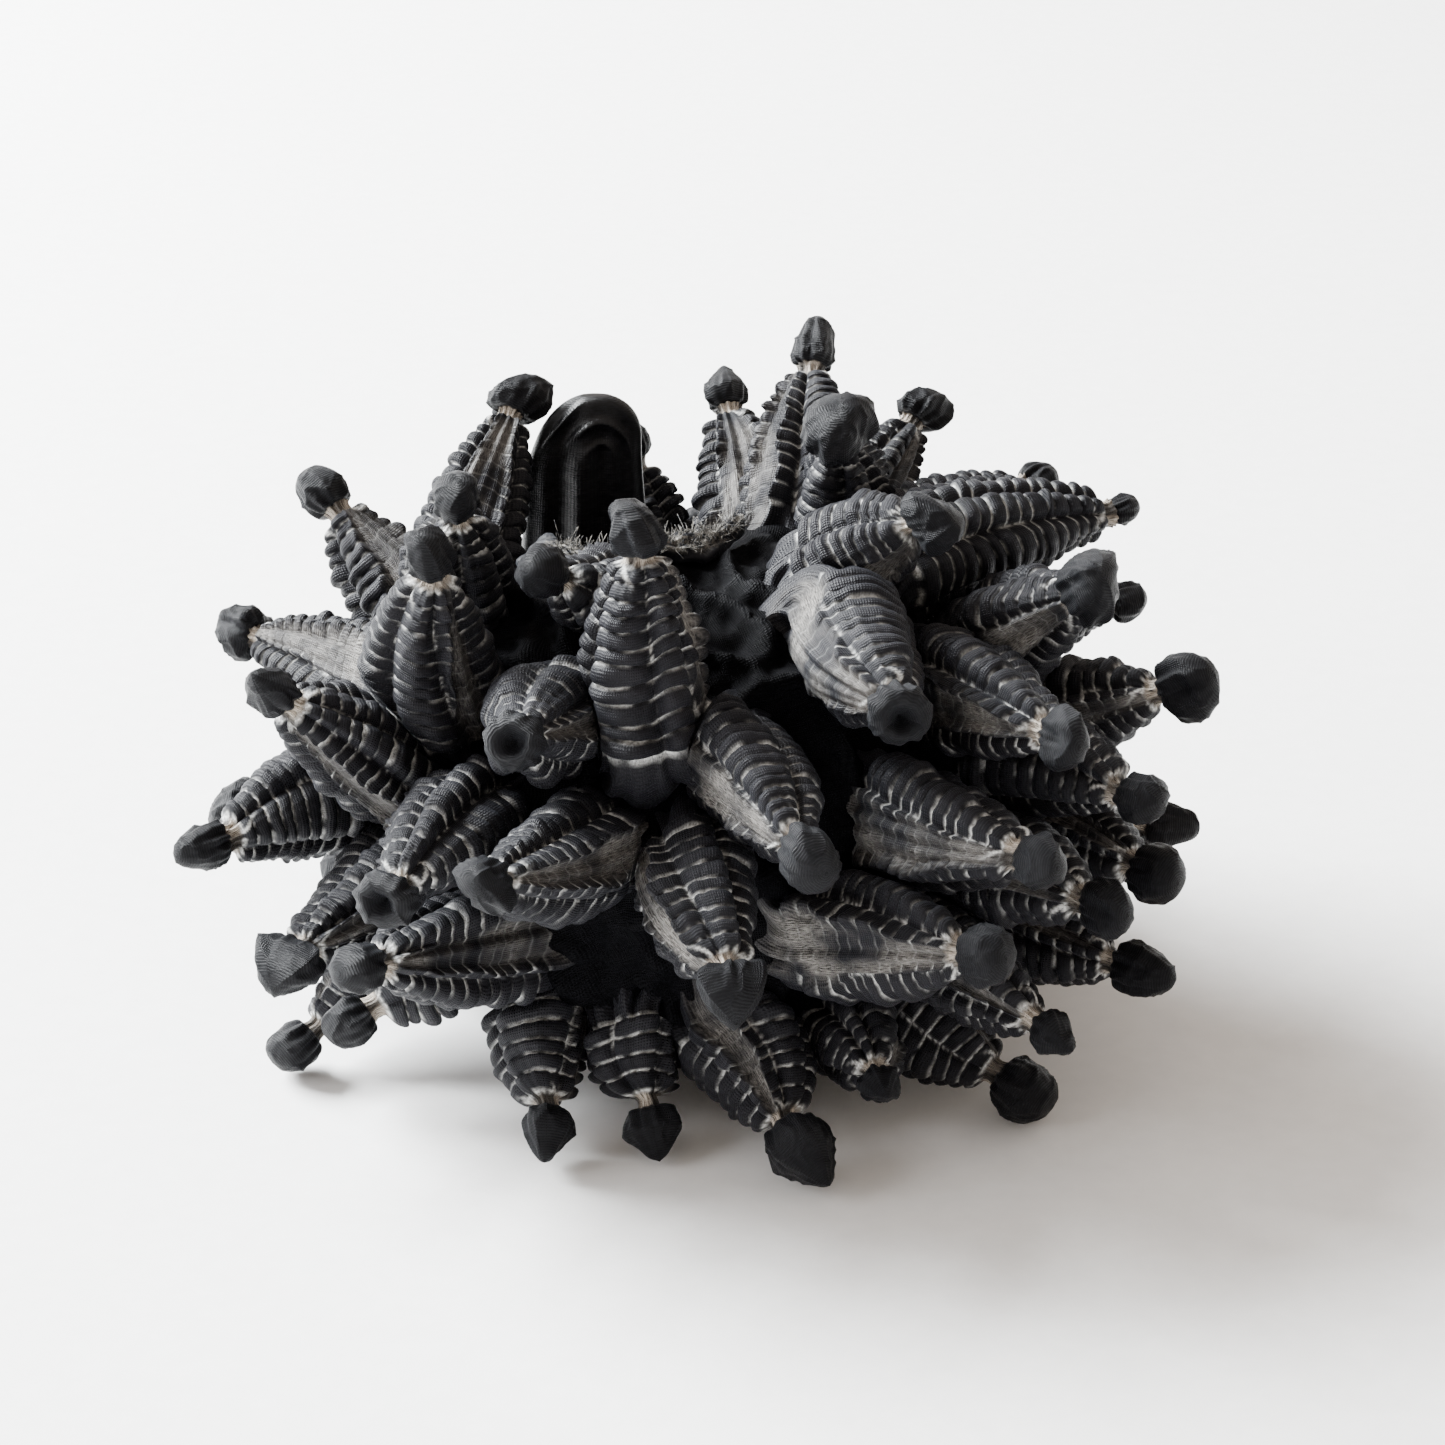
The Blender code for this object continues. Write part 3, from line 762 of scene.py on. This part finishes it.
def fibres(rows, rng, material):
    """Loose thread ends that stand out of the raw edge."""
    vertices, faces = [], []
    for _ in range(1500):
        k = int(rng.integers(14, len(rows) - 4))
        j = int(rng.integers(3, 20))
        start = rows[k, j]
        out = unit(start - rows[k].mean(axis=0)) + rng.normal(0, 0.5, 3)
        out = unit(out)
        bend = rng.normal(0, 1, 3)
        length = (0.35 + 1.5 * rng.uniform() ** 3) * MM
        thin = rng.uniform(0.035, 0.07) * MM
        side = unit(np.cross(out, [0.3, 0.2, 1]))
        other = np.cross(out, side)
        first = len(vertices)
        steps = 5
        for step in range(steps):
            share = step / (steps - 1)
            middle = start + out * length * share + bend * length * 0.7 * share**2
            for k_side in range(3):
                turn = TURN * k_side / 3
                vertices.append(middle + thin * (math.cos(turn) * side + math.sin(turn) * other))
        for step in range(steps - 1):
            for a in range(3):
                b = (a + 1) % 3
                low = first + 3 * step
                faces.append((low + a, low + b, low + 3 + b, low + 3 + a))
        last = first + 3 * (steps - 1)
        faces.append((first, first + 2, first + 1))
        faces.append((last, last + 1, last + 2))
    mesh = bpy.data.meshes.new("raw_edge_fibres")
    mesh.from_pydata([tuple(v) for v in vertices], [], faces)
    layer = mesh.attributes.new("fray", "FLOAT", "POINT")
    layer.data.foreach_set("value", np.ones(len(vertices), np.float32))
    mesh.shade_smooth()
    made = bpy.data.objects.new("raw_edge_fibres", mesh)
    bpy.context.scene.collection.objects.link(made)
    made.data.materials.append(material)
    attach(made, "bundle")
    return made


class Nodes:
    """Short calls for building a material's node tree."""

    def __init__(self, name):
        self.material = bpy.data.materials.new(name)
        self.material.use_nodes = True
        self.tree = self.material.node_tree
        self.shader = self.tree.nodes["Principled BSDF"]

    def add(self, kind, settings=None, **inputs):
        node = self.tree.nodes.new(kind)
        for label, value in (settings or {}).items():
            setattr(node, label, value)
        for label, value in inputs.items():
            self.put(node.inputs[label.replace("_", " ")], value)
        return node

    def put(self, socket, value):
        if isinstance(value, bpy.types.NodeSocket):
            self.tree.links.new(value, socket)
        else:
            socket.default_value = value

    def attribute(self, name):
        return self.add("ShaderNodeAttribute", {"attribute_name": name}).outputs["Fac"]

    def maths(self, operation, first, second=0.0, clamp=False):
        node = self.tree.nodes.new("ShaderNodeMath")
        node.operation = operation
        node.use_clamp = clamp
        self.put(node.inputs[0], first)
        self.put(node.inputs[1], second)
        return node.outputs[0]

    def mix(self, share, first, second):
        node = self.tree.nodes.new("ShaderNodeMix")
        node.data_type = "RGBA"
        self.put(node.inputs["Factor"], share)
        self.put(node.inputs["A"], first)
        self.put(node.inputs["B"], second)
        return node.outputs["Result"]

    def remap(self, value, low, high, to_low=0.0, to_high=1.0):
        node = self.tree.nodes.new("ShaderNodeMapRange")
        self.put(node.inputs["Value"], value)
        node.inputs["From Min"].default_value = low
        node.inputs["From Max"].default_value = high
        node.inputs["To Min"].default_value = to_low
        node.inputs["To Max"].default_value = to_high
        return node.outputs["Result"]

    def cloth_place(self, scale=(1, 1, 1)):
        """Cloth coordinates, in centimetres along and across the threads."""
        uv = self.add("ShaderNodeUVMap", {"uv_map": "cloth"})
        mapping = self.add("ShaderNodeMapping", Vector=uv.outputs["UV"], Scale=scale)
        return mapping.outputs["Vector"]

    def place(self):
        return self.add("ShaderNodeTexCoord").outputs["Object"]

    def noise(self, place, scale, detail=3.0, roughness=0.55):
        node = self.add("ShaderNodeTexNoise", Vector=place, Scale=scale, Detail=detail, Roughness=roughness)
        return node.outputs["Fac"]

    def weave(self, pitch_mm):
        """Height of a plain weave whose threads are pitch_mm apart."""
        bands = []
        for direction in ("X", "Y"):
            wave = self.add(
                "ShaderNodeTexWave",
                {"wave_type": "BANDS", "bands_direction": direction},
                Vector=self.cloth_place(),
                Scale=10 / pitch_mm / TURN * math.pi / 2,
                Distortion=0.6,
                Detail=1.0,
            )
            bands.append(wave.outputs["Fac"])
        return self.maths("MULTIPLY", bands[0], bands[1])

    def bump(self, height, strength, distance):
        node = self.add("ShaderNodeBump", Height=height, Strength=strength, Distance=distance)
        self.put(self.shader.inputs["Normal"], node.outputs["Normal"])

    def surface(self, colour, roughness, sheen, tint, specular):
        self.put(self.shader.inputs["Base Color"], colour)
        self.put(self.shader.inputs["Roughness"], roughness)
        self.shader.inputs["Sheen Weight"].default_value = sheen
        self.shader.inputs["Sheen Roughness"].default_value = 0.45
        self.shader.inputs["Sheen Tint"].default_value = (*tint, 1)
        self.shader.inputs["Specular IOR Level"].default_value = specular


DYED = (0.0066, 0.0066, 0.0086, 1)
WORN = (0.0125, 0.0122, 0.0150, 1)
RESIST = (0.78, 0.78, 0.76, 1)
PALE = (0.30, 0.285, 0.265, 1)
TAUPE = (0.022, 0.019, 0.018, 1)
BAND_PALE = (0.58, 0.51, 0.43, 1)
LOOSE = (0.0040, 0.0040, 0.0052, 1)
# painted shade: a black darker than the dyed cloth, for the ground cloth between the horns and in the hollow, and
# for the loop's darker threads behind it
SHADE_BLACK = (0.0012, 0.0012, 0.0016, 1)
FRAYED = (0.22, 0.205, 0.18, 1)
COOL = (0.78, 0.88, 1.0)


def dyed_cloth(nodes):
    """Unevenly dyed black."""
    patches = nodes.remap(nodes.noise(nodes.place(), 160, 4.0), 0.35, 0.75)
    return nodes.mix(patches, DYED, WORN)


def crumpled(nodes, strength):
    """Adds the weave, its small crinkles and the larger puckers as bump."""
    puckers = nodes.noise(nodes.place(), 420, 4.0, 0.6)
    crinkles = nodes.noise(nodes.place(), 1300, 3.0, 0.6)
    height = nodes.maths("ADD", nodes.maths("MULTIPLY", nodes.weave(0.3), 0.35), puckers)
    height = nodes.maths("ADD", height, nodes.maths("MULTIPLY", crinkles, 0.45))
    nodes.bump(height, strength, 0.00042)


def horn_material():
    nodes = Nodes("horn_cloth_dyed")
    colour = nodes.mix(nodes.attribute("loose"), dyed_cloth(nodes), LOOSE)
    fibres_along = nodes.noise(nodes.cloth_place((9.0, 1.2, 1.0)), 5.0, 5.0, 0.7)
    furrow = nodes.attribute("furrow")
    pale = nodes.mix(nodes.remap(fibres_along, 0.4, 0.68), TAUPE, PALE)
    patch = nodes.remap(nodes.noise(nodes.place(), 110, 2.0), 0.36, 0.66)
    colour = nodes.mix(nodes.maths("MULTIPLY", furrow, patch, True), colour, pale)
    speckle = nodes.remap(nodes.noise(nodes.place(), 2600, 2.0), 0.3, 0.6, 0.4, 1.0)
    line = nodes.maths("MULTIPLY", nodes.maths("POWER", nodes.attribute("groove"), 1.4), speckle, True)
    colour = nodes.mix(line, colour, RESIST)
    streak = nodes.remap(nodes.noise(nodes.cloth_place((6.0, 1.0, 1.0)), 6.0, 3.0), 0.40, 0.54)
    band = nodes.maths("MULTIPLY", nodes.attribute("band"), streak, True)
    colour = nodes.mix(band, colour, BAND_PALE)
    nodes.surface(colour, nodes.remap(fibres_along, 0.3, 0.7, 0.36, 0.56), 0.015, COOL, 0.1)
    crumpled(nodes, 0.7)
    return nodes.material


def plain_cloth_material(name, dark, light, low, high, specular, strength):
    """The cloth without resist marks: two shades of black, and its roughness between low and high. Where the
    darker shade is the extra-dark black, it is painted shade.
    """
    nodes = Nodes(name)
    threads = nodes.noise(nodes.cloth_place((1.0, 7.0, 1.0)), 5.0, 4.0)
    colour = nodes.mix(nodes.remap(threads, 0.4, 0.75), dark, light)
    nodes.surface(colour, nodes.remap(threads, 0.3, 0.7, low, high), 0.0, COOL, specular)
    crumpled(nodes, strength)
    return nodes.material


def edge_material():
    nodes = Nodes("frayed_cloth")
    patches = nodes.remap(nodes.noise(nodes.place(), 900, 4.0, 0.7), 0.42, 0.68)
    fray = nodes.maths("MULTIPLY", patches, nodes.attribute("fray"), True)
    colour = nodes.mix(fray, DYED, FRAYED)
    nodes.surface(colour, nodes.remap(fray, 0, 1, 0.55, 0.85), 0.04, COOL, 0.1)
    nodes.bump(nodes.noise(nodes.place(), 1400, 4.0), 0.8, 0.0003)
    return nodes.material


def floor_material():
    nodes = Nodes("pale_paper")
    grain = nodes.noise(nodes.place(), 260, 4.0)
    colour = nodes.mix(nodes.remap(grain, 0.3, 0.7), (0.80, 0.795, 0.79, 1), (0.84, 0.835, 0.83, 1))
    nodes.surface(colour, nodes.remap(grain, 0.3, 0.7, 0.85, 0.95), 0.0, (1, 1, 1), 0.15)
    return nodes.material


WINDOW_SIDE = (-0.45, 0.45, 0.77)  # the side that the room is brightest on
DIM_SIDE = 0.6
BRIGHT_SIDE = 1.15


def make_floor():
    half = 3.0
    mesh = bpy.data.meshes.new("floor")
    mesh.from_pydata([(-half, -half, 0), (half, -half, 0), (half, half, 0), (-half, half, 0)], [], [(0, 1, 2, 3)])
    made = bpy.data.objects.new("floor", mesh)
    bpy.context.scene.collection.objects.link(made)
    made.location.z = -0.05 * MM
    made.data.materials.append(floor_material())


def make_camera():
    """Above and in front of the bundle."""
    elevation = math.radians(25.5)
    distance = 0.52
    target = Vector((0.0047, 0, 0.0455))
    ahead = Vector((0, math.cos(elevation), -math.sin(elevation)))
    data = bpy.data.cameras.new("camera")
    data.sensor_width = 36
    data.lens = 89.3
    data.clip_start = 0.01
    camera = bpy.data.objects.new("camera", data)
    camera.location = target - distance * ahead
    camera.rotation_euler = ahead.to_track_quat("-Z", "Y").to_euler()
    bpy.context.scene.collection.objects.link(camera)
    bpy.context.scene.camera = camera


def area_light(name, place, size, power, colour):
    data = bpy.data.lights.new(name, "AREA")
    data.shape = "SQUARE"
    data.size = size
    data.energy = power
    data.color = colour
    light = bpy.data.objects.new(name, data)
    light.location = place
    light.rotation_euler = (Vector((0, 0, 0.04)) - Vector(place)).to_track_quat("-Z", "Y").to_euler()
    bpy.context.scene.collection.objects.link(light)


def make_lights():
    area_light("window", (-1.08, 0.6, 0.9), 0.9, 270, (0.95, 0.985, 1.0))
    area_light("left_fill", (-1.2, -0.5, 0.7), 0.8, 14, (0.97, 0.98, 1.0))
    world = bpy.data.worlds.new("pale_room")
    world.use_nodes = True
    tree = world.node_tree
    background = tree.nodes["Background"]
    background.inputs["Color"].default_value = (1.0, 0.89, 0.79, 1)
    heading = tree.nodes.new("ShaderNodeTexCoord")
    toward = tree.nodes.new("ShaderNodeVectorMath")
    toward.operation = "DOT_PRODUCT"
    toward.inputs[1].default_value = WINDOW_SIDE
    strength = tree.nodes.new("ShaderNodeMapRange")
    strength.inputs["From Min"].default_value = -1
    strength.inputs["To Min"].default_value = DIM_SIDE
    strength.inputs["To Max"].default_value = BRIGHT_SIDE
    tree.links.new(heading.outputs["Generated"], toward.inputs[0])
    tree.links.new(toward.outputs["Value"], strength.inputs["Value"])
    tree.links.new(strength.outputs["Result"], background.inputs["Strength"])
    bpy.context.scene.world = world


def build():
    make_camera()
    make_lights()
    make_floor()
    horns = [Horn(number, joint) for number, joint in enumerate(frame["joints"])]
    ground = Ground()
    horn_cloth = horn_material()
    # painted shade: both blacks of the ground cloth are darker than the horns' dyed cloth, for the shade between
    # the horns and in the hollow; the loop's darker threads use the same painted-shade black
    black = plain_cloth_material("ground_cloth_painted_shade", SHADE_BLACK, LOOSE, 0.50, 0.66, 0.03, 0.9)
    loop_cloth = plain_cloth_material("loop_cloth_dyed_with_painted_shade", SHADE_BLACK, DYED, 0.34, 0.48, 0.22, 0.35)
    pieces = [make_horn(horn, horns, ground.surface, horn_cloth) for horn in horns]
    pieces.append(make_loop(ground.surface, loop_cloth))
    pieces += make_edge(ground, edge_material())
    cloth = make_ground(ground, horns, black)


build()
